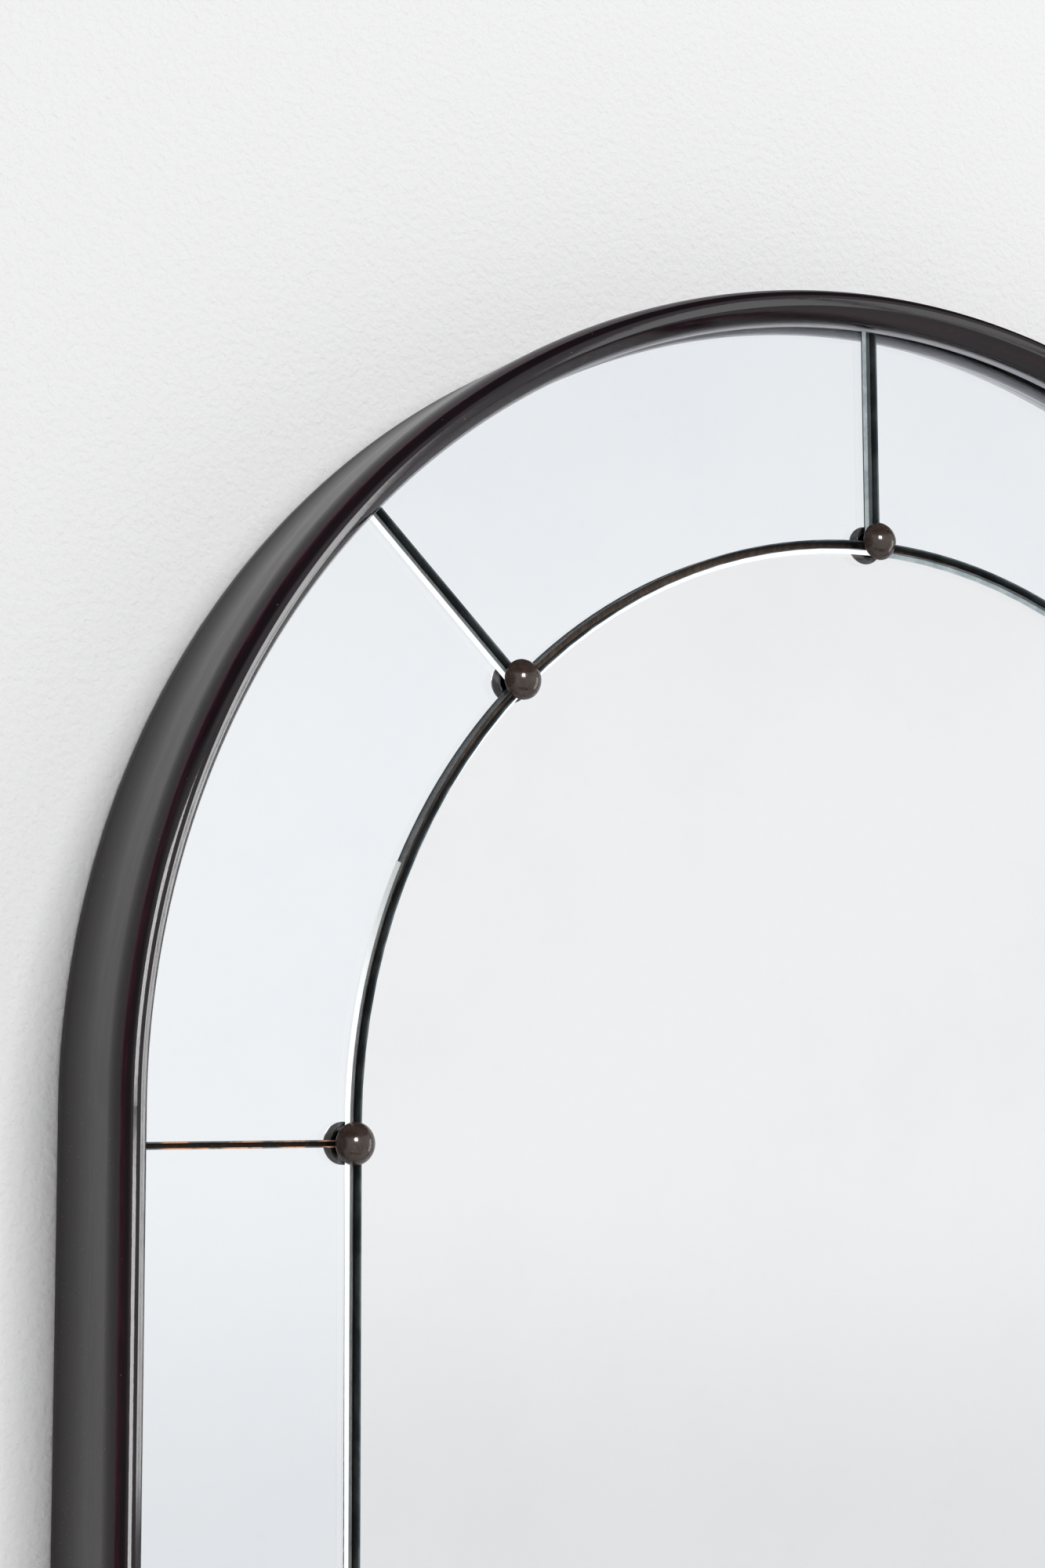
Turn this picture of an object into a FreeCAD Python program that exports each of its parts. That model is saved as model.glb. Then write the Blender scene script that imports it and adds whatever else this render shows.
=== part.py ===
"""Arched wall mirror: a deep lacquered hoop frame around a border of separate mirror panes,
a large centre pane, and dome studs where the panes meet. X runs right, Z up, and Y into the wall.
The wall plane is y = 0, so every depth below is a distance in front of the wall."""
import FreeCAD, Part
import math
import os

V = FreeCAD.Vector
os.makedirs("parts", exist_ok=True)

# Overall form of the frame, in millimetres
WIDTH = 762.0              # across the outside of the two stiles
STRAIGHT = 762.0           # springing line of the arch down to the bottom edge
DEPTH = 79.0               # wall plane to the crest of the rim

# Section of the frame moulding
WALL_T = 7.0               # hoop wall beside and behind the glass
LIP_REACH = 16.4           # outer face to the sight edge of the lip
BULGE_RISE = 18.5          # crest in front of the line where the flat side starts to curve in
BULGE_R = 36.0             # convex outer shoulder
CREST_R = 3.5              # crest of the rim
NOSE_R = 3.4               # rounded sight edge of the lip
BACK_EASE = 1.0            # eased arris at the wall

# Glass and what stands behind it
GLASS_T = 6.0
GASKET_T = 1.0             # soft strip between lip and glass
GASKET_W = 5.2
PAD_T = 1.0                # foam pads between glass and board
PAD_SIDE = 30.0
PAD_ROWS = (0.15, 0.5, 0.85)  # shares of the height from springing line to foot gap
PAD_HIGH = 0.6             # share of the gap radius, for the pad under the arch
BOARD_T = 9.0
CREST_RISE = 22.5          # crest of the rim in front of the glass
BORDER = 94.6              # sight edge to the centre line of the gap around the centre pane
GAP_W = 3.2                # gap between centre pane and border
JOINT_W = 3.2              # radial and mitred joints between border panes
LEVEL_JOINT_W = 2.0        # level joints between the arch panes and the side panes
GLASS_DROP = 8.0           # glass arcs are struck this far below the arch centre
LEVEL_JOINT_DROP = 8.0     # level joints below the centre of the glass arcs
ARRIS = 0.5                # ground arris on the front edges of the glass
SIDE_CLEAR = 1.5           # glass edge to hoop wall
BOARD_CLEAR = 0.7          # board edge to hoop wall

# Dome studs at the meeting points of the panes
STUD_D = 18.0
STUD_H = 7.2
STUD_EDGE = 0.8            # short upright edge under the dome
STUD_OUT = 2.0             # stud axis outside the gap's centre line
STUD_NOTCH = 1.0           # corners of the panes clipped this far around a shank
SHANK_D = 3.0
SHANK_TAIL = 2.0           # shank beyond the nut
WASHER_D = 12.0            # soft washer under the dome
WASHER_T = 2.0
PLATE_D = 9.0              # steel washer behind the board
PLATE_T = 0.8
NUT_AF = 5.5
NUT_T = 2.4
HOLE_CLEAR = 0.2           # radial clearance of a hole around a shank
PANE_ANGLE = 45            # degrees of arch that each border pane takes

# Retaining battens behind the board
BATTEN_W = 30.0
BATTEN_BACK = 14.0         # depth of the battens' rear face, the hangers' recess
ARCH_BATTEN_START = 15.0   # degrees above the springing line
BATTEN_GAP = 0.6           # saw cut between neighbouring battens
GLUE_LINE = 0.1
ARCH_SCREW_END = 6.0       # degrees from a screw to the end of an arch batten

# Countersunk batten screws
SCREW_D = 4.0
SCREW_HEAD_D = 8.0
SCREW_HEAD_T = 2.2
SCREW_BITE = 5.0           # thread in the board
SCREW_PITCH = 210.0        # largest distance between batten screws
DRIVE_W = 1.0              # width of the cross recess
DRIVE_L = 4.2
DRIVE_T = 1.1

# Dowels in the frame joints
DOWEL_D = 6.0
DOWEL_L = 36.0
MITRE_DOWEL_L = 12.0
DOWEL_U = 7.5              # in from the outer face
DOWEL_BEHIND = 10.5        # behind the crest of the rim
DOWEL_FIT = 0.05

# Ring hangers on the side battens
HANGER_IN = 17.0           # hanger centre in from the hoop wall
WIRE_D = 3.2
RING_W = 25.0              # between the leg centre lines
RING_CORNER = 3.5
RING_LEG = 2.0
STRAP_W = 16.0
STRAP_T = 1.5
STRAP_L = 34.0
EYE_CLEAR = 0.35           # ring bar in its rolled eye
HANG_SCREW_D = 3.5
HANG_SCREW_SHARE = 0.53    # of the batten's thickness
HANG_HEAD_D = 7.0
HANG_HEAD_T = 1.9
HANG_SCREW_1 = 10.5        # below the ring's pivot
HANG_SCREW_2 = 27.0

OVERCUT = 1.0              # how far a cutting body stands past what it cuts

# Derived values
OUTER = WIDTH / 2
RABBET = OUTER - WALL_T
SIGHT = OUTER - LIP_REACH
FOOT = -STRAIGHT
BULGE_START = DEPTH - BULGE_RISE
GLASS_FRONT = DEPTH - CREST_RISE
GLASS_BACK = GLASS_FRONT - GLASS_T
BOARD_FRONT = GLASS_BACK - PAD_T
BOARD_BACK = BOARD_FRONT - BOARD_T
HANG_SCREW_L = HANG_SCREW_SHARE * (BOARD_BACK - BATTEN_BACK)
LIP_BACK = GLASS_FRONT + GASKET_T
GAP_R = SIGHT - BORDER
GAP_FOOT = FOOT + LIP_REACH + BORDER
LEVEL_JOINT = -GLASS_DROP - LEVEL_JOINT_DROP
WIRE_R = WIRE_D / 2
EYE_IN = WIRE_R + EYE_CLEAR
EYE_OUT = EYE_IN + STRAP_T
BOW_R = RING_W / 2
PIVOT_Z = -(RING_CORNER + RING_LEG + BOW_R - WIRE_R)
PIVOT_DEPTH = BATTEN_BACK - EYE_OUT
HANGER_X = RABBET - HANGER_IN


def save(name, shape):
    """Write one node."""
    shape.exportStep("parts/" + name + ".step")


def group(shapes):
    """Several loose solids of one kind as a single node."""
    return Part.makeCompound(shapes)


def mirrored(shape):
    """The same piece on the other side of the mirror."""
    return shape.mirror(V(0, 0, 0), V(1, 0, 0))


def polar(centre, radius, angle):
    """Point on a circle in section coordinates, angle in radians."""
    return (centre[0] + radius * math.cos(angle), centre[1] + radius * math.sin(angle))


def rim_section(place):
    """Face of the moulding. place turns (inset from the outer face, depth) into a point in space."""
    rise = (DEPTH - CREST_R - BULGE_START) / (BULGE_R - CREST_R)
    alpha = math.asin(rise)
    bulge = (BULGE_R, BULGE_START)
    lead = math.pi - alpha
    crest = polar(bulge, BULGE_R - CREST_R, lead)
    nose = (LIP_REACH - NOSE_R, LIP_BACK + NOSE_R)
    run = math.hypot(nose[0] - crest[0], nose[1] - crest[1])
    slope = math.atan2(nose[1] - crest[1], nose[0] - crest[0])
    tangent = slope + math.acos((CREST_R - NOSE_R) / run)

    def arc(centre, radius, start, end):
        middle = (start + end) / 2
        ends = [place(*polar(centre, radius, a)) for a in (start, middle, end)]
        return Part.Arc(*ends).toShape()

    def line(a, b):
        return Part.makeLine(place(*a), place(*b))

    side = (0.0, BACK_EASE)
    shoulder = (0.0, BULGE_START)
    lip_end = (nose[0], LIP_BACK)
    corner = (WALL_T, LIP_BACK)
    heel = (WALL_T, 0.0)
    ease = (BACK_EASE, 0.0)
    edges = [
        line(side, shoulder),
        arc(bulge, BULGE_R, math.pi, lead),
        arc(crest, CREST_R, lead, tangent),
        line(polar(crest, CREST_R, tangent), polar(nose, NOSE_R, tangent)),
        arc(nose, NOSE_R, tangent, -math.pi / 2),
        line(lip_end, corner),
        line(corner, heel),
        line(heel, ease),
        line(ease, side),
    ]
    return Part.Face(Part.Wire(edges))


def level_prism(points, depth_a, depth_b):
    """Prism along Y over a polygon given in (x, z)."""
    corners = [V(x, -depth_a, z) for x, z in points]
    face = Part.Face(Part.makePolygon(corners + corners[:1]))
    return face.extrude(V(0, depth_a - depth_b, 0))


def arch_slab(radius, foot, centre_z, depth_a, depth_b):
    """Slab with a round-arched outline, between two depths."""
    left = V(-radius, -depth_a, centre_z)
    top = V(0, -depth_a, centre_z + radius)
    right = V(radius, -depth_a, centre_z)
    low_right = V(radius, -depth_a, foot)
    low_left = V(-radius, -depth_a, foot)
    outline = Part.Wire([
        Part.Arc(left, top, right).toShape(),
        Part.makeLine(right, low_right),
        Part.makeLine(low_right, low_left),
        Part.makeLine(low_left, left),
    ])
    return Part.Face(outline).extrude(V(0, depth_a - depth_b, 0))


def rod(x, z, depth_a, depth_b, diameter):
    """Cylinder along Y from one depth to a lesser one."""
    return Part.makeCylinder(diameter / 2, depth_a - depth_b, V(x, -depth_a, z), V(0, 1, 0))


def dowel(centre, direction, length, diameter):
    """Cylinder centred on a joint."""
    base = centre - direction * (length / 2)
    return Part.makeCylinder(diameter / 2, length, base, direction)


def dowel_places():
    """Centre, direction and length of each dowel: crown, two springings, two mitres."""
    y = DOWEL_BEHIND - DEPTH
    r = OUTER - DOWEL_U
    low = FOOT + DOWEL_U
    half = math.sqrt(0.5)
    return [
        (V(0, y, r), V(1, 0, 0), DOWEL_L),
        (V(-r, y, 0), V(0, 0, 1), DOWEL_L),
        (V(r, y, 0), V(0, 0, 1), DOWEL_L),
        (V(-r, y, low), V(half, 0, -half), MITRE_DOWEL_L),
        (V(r, y, low), V(-half, 0, -half), MITRE_DOWEL_L),
    ]


def bored_for_dowels(shape):
    """Take the dowel holes out of a frame member."""
    for centre, direction, length in dowel_places():
        shape = shape.cut(dowel(centre, direction, length + 2 * DOWEL_FIT, DOWEL_D + 2 * DOWEL_FIT))
    return shape


def frame_members():
    """Two bent quarters, two stiles and a bottom rail mitred to them."""
    section = rim_section(lambda u, d: V(OUTER - u, -d, 0))
    quarter = section.revolve(V(0, 0, 0), V(0, -1, 0), 90)
    stile = section.extrude(V(0, 0, FOOT))
    reach = 2 * LIP_REACH
    depth = 2 * DEPTH
    below = [(OUTER, FOOT), (OUTER - reach, FOOT), (OUTER - reach, FOOT + reach)]
    stile = stile.cut(level_prism(below, depth, -depth))
    rail_section = rim_section(lambda u, d: V(-OUTER, -d, FOOT + u))
    rail = rail_section.extrude(V(WIDTH, 0, 0))
    above = [(OUTER, FOOT), (OUTER, FOOT + reach), (OUTER - reach, FOOT + reach)]
    end_cut = level_prism(above, depth, -depth)
    rail = rail.cut(end_cut).cut(mirrored(end_cut))
    save("frame_arch_right", bored_for_dowels(quarter))
    save("frame_arch_left", bored_for_dowels(mirrored(quarter)))
    save("frame_stile_right", bored_for_dowels(stile))
    save("frame_stile_left", bored_for_dowels(mirrored(stile)))
    save("frame_bottom_rail", bored_for_dowels(rail))


def frame_dowels():
    """Dowels across the crown, the springings and the mitres."""
    pegs = [dowel(c, d, length, DOWEL_D) for c, d, length in dowel_places()]
    save("joint_dowels", group(pegs[:3]))
    save("mitre_dowels", group(pegs[3:]))


def with_arris(pane):
    """Grind the front edges of a pane."""
    front = [e for e in pane.Edges if all(abs(v.Y + GLASS_FRONT) < 1e-6 for v in e.Vertexes)]
    return pane.makeChamfer(ARRIS, front)


def joint_strips():
    """Saw kerfs between the border panes."""
    deep = GLASS_FRONT + OVERCUT
    shallow = GLASS_BACK - OVERCUT
    start = GAP_R - GAP_W
    end = OUTER + LIP_REACH
    strips = []
    for angle in range(PANE_ANGLE, 180, PANE_ANGLE):
        strip = Part.makeBox(end - start, deep - shallow, JOINT_W, V(start, -deep, -JOINT_W / 2))
        strip.rotate(V(0, 0, 0), V(0, -1, 0), angle)
        strip.translate(V(0, 0, -GLASS_DROP))
        strips.append(strip)
    low = LEVEL_JOINT - LEVEL_JOINT_W / 2
    level = Part.makeBox(end - start, deep - shallow, LEVEL_JOINT_W, V(start, -deep, low))
    strips += [level, mirrored(level)]
    for side in (1, -1):
        mitre = Part.makeBox(2 * (end - start), deep - shallow, JOINT_W, V(0, -deep, -JOINT_W / 2))
        mitre.rotate(V(0, 0, 0), V(0, 1, 0), 90 - side * 45)
        mitre.translate(V(side * GAP_R, 0, GAP_FOOT))
        strips.append(mitre)
    return strips


def pane_name(pane):
    """Name a border pane after its place."""
    middle = pane.CenterOfMass
    side = "left" if middle.x < 0 else "right"
    if middle.z < -GLASS_DROP:
        return "border_pane_foot" if abs(middle.x) < GAP_R / 2 else "border_pane_side_" + side
    level = "shoulder" if middle.z + GLASS_DROP < abs(middle.x) else "crown"
    return "border_pane_" + level + "_" + side


def stud_notches():
    """What is clipped off the corners of the panes to pass the studs' shanks."""
    diameter = SHANK_D + 2 * STUD_NOTCH
    deep = GLASS_FRONT + OVERCUT
    return group([rod(x, z, deep, GLASS_BACK - OVERCUT, diameter) for name, x, z in stud_places()])


def mirror_panes():
    """Centre pane, and the border cut from one blank into its panes."""
    half = GAP_W / 2
    centre = arch_slab(GAP_R - half, GAP_FOOT + half, -GLASS_DROP, GLASS_FRONT, GLASS_BACK)
    notches = stud_notches()
    save("centre_pane", with_arris(centre).cut(notches))
    edge = WALL_T + SIDE_CLEAR
    blank = arch_slab(OUTER - edge, FOOT + edge, 0, GLASS_FRONT, GLASS_BACK)
    deep = GLASS_FRONT + OVERCUT
    inside = arch_slab(GAP_R + half, GAP_FOOT - half, -GLASS_DROP, deep, GLASS_BACK - OVERCUT)
    border = blank.cut(inside)
    for strip in joint_strips():
        border = border.cut(strip)
    for pane in border.Solids:
        save(pane_name(pane), with_arris(pane).cut(notches))


def glazing_gasket():
    """Soft strip in the rabbet, set back from the sight edge."""
    edge = WALL_T + BOARD_CLEAR
    outside = arch_slab(OUTER - edge, FOOT + edge, 0, LIP_BACK, GLASS_FRONT)
    inset = edge + GASKET_W
    inside = arch_slab(OUTER - inset, FOOT + inset, 0, LIP_BACK + OVERCUT, GLASS_FRONT - OVERCUT)
    save("glazing_gasket", outside.cut(inside))


def stud_places():
    """Name and (x, z) of each stud: along the arch, then down both sides."""
    names = ["shoulder_right", "crown", "shoulder_left"]
    radius = GAP_R + STUD_OUT
    places = []
    for step, name in enumerate(names, 1):
        angle = math.radians(PANE_ANGLE * step)
        places.append((name, radius * math.cos(angle), radius * math.sin(angle) - GLASS_DROP))
    for side, word in ((1, "right"), (-1, "left")):
        places.append(("spring_" + word, side * radius, LEVEL_JOINT))
        places.append(("foot_" + word, side * radius, GAP_FOOT - STUD_OUT))
    return places


def dome_stud(x, z):
    """Turned dome with a short upright edge and a threaded shank through the gap."""
    base = GLASS_FRONT + WASHER_T
    radius = STUD_D / 2
    cap = STUD_H - STUD_EDGE
    ball = (radius * radius + cap * cap) / (2 * cap)
    middle = math.asin(radius / ball) / 2
    depth_mid = base + STUD_H - ball + ball * math.cos(middle)
    tail = BOARD_BACK - PLATE_T - NUT_T - SHANK_TAIL

    def point(r, depth):
        return V(x + r, -depth, z)

    rim = point(radius, base + STUD_EDGE)
    crown = point(0, base + STUD_H)
    dome = Part.Arc(crown, point(ball * math.sin(middle), depth_mid), rim).toShape()
    rest = Part.makePolygon([
        rim,
        point(radius, base),
        point(SHANK_D / 2, base),
        point(SHANK_D / 2, tail),
        point(0, tail),
        crown,
    ])
    profile = Part.Face(Part.Wire([dome] + rest.Edges))
    return profile.revolve(V(x, 0, z), V(0, 1, 0), 360)


def ring_washer(x, z, depth_a, depth_b, diameter):
    """Flat washer around a stud's shank."""
    bore = rod(x, z, depth_a + OVERCUT, depth_b - OVERCUT, SHANK_D + 2 * HOLE_CLEAR)
    return rod(x, z, depth_a, depth_b, diameter).cut(bore)


def hex_nut(x, z):
    """Hexagon nut behind the board."""
    back = BOARD_BACK - PLATE_T
    corner = NUT_AF / math.sqrt(3)
    angles = [math.radians(60 * i) for i in range(6)]
    points = [(x + corner * math.cos(a), z + corner * math.sin(a)) for a in angles]
    bore = rod(x, z, back + OVERCUT, back - NUT_T - OVERCUT, SHANK_D)
    return level_prism(points, back, back - NUT_T).cut(bore)


def studs():
    """Studs, their soft washers in front, and the plates and nuts that draw them tight."""
    soft = []
    plates = []
    nuts = []
    for name, x, z in stud_places():
        save("stud_" + name, dome_stud(x, z))
        soft.append(ring_washer(x, z, GLASS_FRONT + WASHER_T, GLASS_FRONT, WASHER_D))
        plates.append(ring_washer(x, z, BOARD_BACK, BOARD_BACK - PLATE_T, PLATE_D))
        nuts.append(hex_nut(x, z))
    save("stud_soft_washers", group(soft))
    save("stud_plate_washers", group(plates))
    save("stud_nuts", group(nuts))


def pad_places():
    """Centres of the foam pads behind every pane."""
    mid = (GAP_R + OUTER) / 2
    places = []
    for step in range(180 * 2 // PANE_ANGLE):
        angle = math.radians(PANE_ANGLE * (step + 0.5) / 2)
        places.append((mid * math.cos(angle), mid * math.sin(angle) - GLASS_DROP))
    low = (FOOT + GAP_FOOT) / 2
    for share in PAD_ROWS:
        z = GAP_FOOT * share
        places += [(-mid, z), (mid, z), (-GAP_R / 2, z), (0, z), (GAP_R / 2, z)]
    places += [(-GAP_R / 2, low), (0, low), (GAP_R / 2, low), (0, GAP_R * PAD_HIGH)]
    return places


def mirror_pads():
    """Square foam pads that bond the panes to the board."""
    half = PAD_SIDE / 2
    pads = []
    for x, z in pad_places():
        square = [(x - half, z - half), (x + half, z - half), (x + half, z + half), (x - half, z + half)]
        pads.append(level_prism(square, GLASS_BACK, BOARD_FRONT))
    save("mirror_pads", group(pads))


def spread(low, high, pitch):
    """Evenly spaced positions from low to high, no farther apart than pitch."""
    count = max(1, math.ceil((high - low) / pitch))
    return [low + (high - low) * i / count for i in range(count + 1)]


def batten_ends():
    """Top of the side battens, and the top of the bottom batten."""
    top = PIVOT_Z - WIRE_R
    low = FOOT + WALL_T + BATTEN_W
    return top, low


def batten_screw_places():
    """(x, z) of every batten screw."""
    line = RABBET - BATTEN_W / 2
    top, low = batten_ends()
    places = []
    for z in spread(low + BATTEN_W, top - STRAP_L - BATTEN_W, SCREW_PITCH):
        places += [(line, z), (-line, z)]
    for x in spread(-line + BATTEN_W, line - BATTEN_W, SCREW_PITCH):
        places.append((x, FOOT + WALL_T + BATTEN_W / 2))
    pitch = math.degrees(SCREW_PITCH / line)
    for degrees in spread(ARCH_BATTEN_START + ARCH_SCREW_END, 90 - ARCH_SCREW_END, pitch):
        x = line * math.cos(math.radians(degrees))
        z = line * math.sin(math.radians(degrees))
        places += [(x, z), (-x, z)]
    return places


def screw_blank(x, z, extra):
    """Countersunk screw from the back, extra wider all round for its hole."""
    tip = BOARD_BACK + SCREW_BITE + extra
    head = SCREW_HEAD_D / 2
    shank = SCREW_D / 2 + extra
    body = rod(x, z, tip, BATTEN_BACK, 2 * shank)
    sink = Part.makeCone(shank, head + extra, SCREW_HEAD_T, V(x, -BATTEN_BACK - SCREW_HEAD_T, z), V(0, 1, 0))
    return body.fuse(sink)


def batten_screw(x, z):
    """Countersunk screw with a cross recess."""
    y = -BATTEN_BACK - DRIVE_T
    slot = Part.makeBox(DRIVE_L, 2 * DRIVE_T, DRIVE_W, V(x - DRIVE_L / 2, y, z - DRIVE_W / 2))
    cross = Part.makeBox(DRIVE_W, 2 * DRIVE_T, DRIVE_L, V(x - DRIVE_W / 2, y, z - DRIVE_L / 2))
    return screw_blank(x, z, 0).cut(slot.fuse(cross))


def hanger_screw_places():
    """(x, z) of the hanger screws."""
    heights = [PIVOT_Z - HANG_SCREW_1, PIVOT_Z - HANG_SCREW_2]
    return [(side * HANGER_X, z) for side in (1, -1) for z in heights]


def battens():
    """Battens glued inside the hoop and screwed to the board they hold."""
    edge = RABBET - GLUE_LINE
    inner = RABBET - BATTEN_W
    top, low = batten_ends()
    foot = FOOT + WALL_T + GLUE_LINE
    side_low = low + BATTEN_GAP
    upright = [(inner, side_low), (edge, side_low), (edge, top), (inner, top)]
    side = level_prism(upright, BOARD_BACK, BATTEN_BACK)
    level = [(-edge, foot), (edge, foot), (edge, low), (-edge, low)]
    bottom = level_prism(level, BOARD_BACK, BATTEN_BACK)
    section = Part.Face(Part.makePolygon([
        V(inner, -BOARD_BACK, 0),
        V(edge, -BOARD_BACK, 0),
        V(edge, -BATTEN_BACK, 0),
        V(inner, -BATTEN_BACK, 0),
        V(inner, -BOARD_BACK, 0),
    ]))
    section.rotate(V(0, 0, 0), V(0, -1, 0), ARCH_BATTEN_START)
    stop = 90 - math.degrees(BATTEN_GAP / 2 / inner)
    arch = section.revolve(V(0, 0, 0), V(0, -1, 0), stop - ARCH_BATTEN_START)
    holes = [screw_blank(x, z, HOLE_CLEAR / 2) for x, z in batten_screw_places()]
    for x, z in hanger_screw_places():
        holes.append(rod(x, z, BATTEN_BACK + HANG_SCREW_L, BATTEN_BACK, HANG_SCREW_D + HOLE_CLEAR))
    drill = group(holes)
    save("batten_side_right", side.cut(drill))
    save("batten_side_left", mirrored(side).cut(drill))
    save("batten_bottom", bottom.cut(drill))
    save("batten_arch_right", arch.cut(drill))
    save("batten_arch_left", mirrored(arch).cut(drill))
    save("batten_screws", group([batten_screw(x, z) for x, z in batten_screw_places()]))


def backing_board():
    """Arched board that carries the glass, bored for the studs and the batten screws."""
    edge = WALL_T + BOARD_CLEAR
    board = arch_slab(OUTER - edge, FOOT + edge, 0, BOARD_FRONT, BOARD_BACK)
    holes = [screw_blank(x, z, HOLE_CLEAR / 2) for x, z in batten_screw_places()]
    for name, x, z in stud_places():
        holes.append(rod(x, z, BOARD_FRONT + OVERCUT, BOARD_BACK - OVERCUT, SHANK_D + 2 * HOLE_CLEAR))
    save("backing_board", board.cut(group(holes)))


def hanger_strap():
    """Flat strap with a rolled eye for the ring and two screw holes."""
    y = -PIVOT_DEPTH
    half = STRAP_W / 2
    flat_y = -BATTEN_BACK
    end = PIVOT_Z - STRAP_L + half
    flat = Part.makeBox(STRAP_W, STRAP_T, PIVOT_Z - end, V(HANGER_X - half, flat_y, end))
    tip = rod(HANGER_X, end, BATTEN_BACK, BATTEN_BACK - STRAP_T, STRAP_W)
    start = V(HANGER_X - half, y, PIVOT_Z)
    barrel = Part.makeCylinder(EYE_OUT, STRAP_W, start, V(1, 0, 0))
    bore = Part.makeCylinder(EYE_IN, STRAP_W + 2 * OVERCUT, start - V(OVERCUT, 0, 0), V(1, 0, 0))
    strap = flat.fuse(tip).fuse(barrel).cut(bore)
    for z in (PIVOT_Z - HANG_SCREW_1, PIVOT_Z - HANG_SCREW_2):
        under = BATTEN_BACK - STRAP_T - OVERCUT
        strap = strap.cut(rod(HANGER_X, z, BATTEN_BACK + OVERCUT, under, HANG_SCREW_D + 2 * HOLE_CLEAR))
    return strap.removeSplitter()


def hanger_ring():
    """D-shaped wire ring standing up from its pivot bar."""
    y = -PIVOT_DEPTH
    c = RING_CORNER
    k = c * (1 - math.sqrt(0.5))
    low = PIVOT_Z
    spring = low + c + RING_LEG

    def at(x, z):
        return V(HANGER_X + x, y, z)

    b = BOW_R
    path = Part.Wire([
        Part.makeLine(at(0, low), at(b - c, low)),
        Part.Arc(at(b - c, low), at(b - k, low + k), at(b, low + c)).toShape(),
        Part.makeLine(at(b, low + c), at(b, spring)),
        Part.Arc(at(b, spring), at(0, spring + b), at(-b, spring)).toShape(),
        Part.makeLine(at(-b, spring), at(-b, low + c)),
        Part.Arc(at(-b, low + c), at(k - b, low + k), at(c - b, low)).toShape(),
        Part.makeLine(at(c - b, low), at(0, low)),
    ])
    circle = Part.Wire([Part.Circle(at(0, low), V(1, 0, 0), WIRE_R).toShape()])
    return path.makePipeShell([circle], True, False)


def hanger_screw(x, z):
    """Pan-head screw through the strap into the batten."""
    under = BATTEN_BACK - STRAP_T
    head = rod(x, z, under, under - HANG_HEAD_T, HANG_HEAD_D)
    rim = [e for e in head.Edges if all(abs(v.Y + under - HANG_HEAD_T) < 1e-6 for v in e.Vertexes)]
    head = head.makeFillet(HANG_HEAD_T / 2, rim)
    y = -under + HANG_HEAD_T - DRIVE_T
    slot = Part.makeBox(DRIVE_L, 2 * DRIVE_T, DRIVE_W, V(x - DRIVE_L / 2, y, z - DRIVE_W / 2))
    cross = Part.makeBox(DRIVE_W, 2 * DRIVE_T, DRIVE_L, V(x - DRIVE_W / 2, y, z - DRIVE_L / 2))
    shank = rod(x, z, BATTEN_BACK + HANG_SCREW_L - HOLE_CLEAR, under, HANG_SCREW_D)
    return head.cut(slot.fuse(cross)).fuse(shank)


def hangers():
    """Straps, swinging rings and screws, left and right."""
    strap = hanger_strap()
    ring = hanger_ring()
    save("hanger_strap_right", strap)
    save("hanger_strap_left", mirrored(strap))
    save("hanger_ring_right", ring)
    save("hanger_ring_left", mirrored(ring))
    save("hanger_screws", group([hanger_screw(x, z) for x, z in hanger_screw_places()]))


frame_members()
frame_dowels()
mirror_panes()
glazing_gasket()
studs()
mirror_pads()
battens()
backing_board()
hangers()
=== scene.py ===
import bpy, bmesh, math
from mathutils import Matrix, Vector


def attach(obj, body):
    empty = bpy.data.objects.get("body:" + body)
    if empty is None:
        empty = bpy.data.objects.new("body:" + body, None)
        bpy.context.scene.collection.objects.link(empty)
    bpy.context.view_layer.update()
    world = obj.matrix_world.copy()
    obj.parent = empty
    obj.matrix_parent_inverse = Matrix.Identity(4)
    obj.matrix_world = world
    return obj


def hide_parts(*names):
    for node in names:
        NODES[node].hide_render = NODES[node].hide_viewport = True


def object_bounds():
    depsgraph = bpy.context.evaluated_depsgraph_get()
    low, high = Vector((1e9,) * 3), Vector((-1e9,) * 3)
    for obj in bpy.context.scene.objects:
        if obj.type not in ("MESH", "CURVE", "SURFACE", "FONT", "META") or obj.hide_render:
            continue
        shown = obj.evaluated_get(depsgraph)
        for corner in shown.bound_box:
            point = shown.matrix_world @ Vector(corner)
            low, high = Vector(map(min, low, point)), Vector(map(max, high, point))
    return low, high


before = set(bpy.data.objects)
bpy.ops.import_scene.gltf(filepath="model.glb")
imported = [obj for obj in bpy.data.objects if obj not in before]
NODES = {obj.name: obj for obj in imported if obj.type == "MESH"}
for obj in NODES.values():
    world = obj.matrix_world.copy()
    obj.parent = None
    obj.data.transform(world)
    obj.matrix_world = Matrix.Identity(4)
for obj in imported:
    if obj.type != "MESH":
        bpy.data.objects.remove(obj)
cad_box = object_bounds()
BODY = "mirror"

# Sizes in metres. The back plane is y = 0, depths run forwards from it and insets inwards from the outer edge.
OUTER = cad_box[1][0]
FOOT = cad_box[0][2]
DEPTH = -cad_box[0][1]

# Section of the frame's moulding
BULGE_START = 0.0605
BULGE_R = 0.036
CREST_R = 0.0035
NOSE_R = 0.0034
LIP_REACH = 0.0164
LIP_BACK = 0.0575
SIDE_T = 0.007
BACK_EASE = 0.001

# Hand-rubbed softening of the section: band from and to (m past the crest), lean at either end
LEANS = ((-0.0805, -0.040, 0.42, 0.0), (-0.022, -0.0038, 0.0, 0.45), (-0.0038, 0.0, 0.45, 0.0),
         (0.0, 0.0038, 0.5, -0.5), (0.0038, 0.0150, -0.35, -0.25), (0.0150, 0.0187, -0.25, 0.35))
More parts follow.
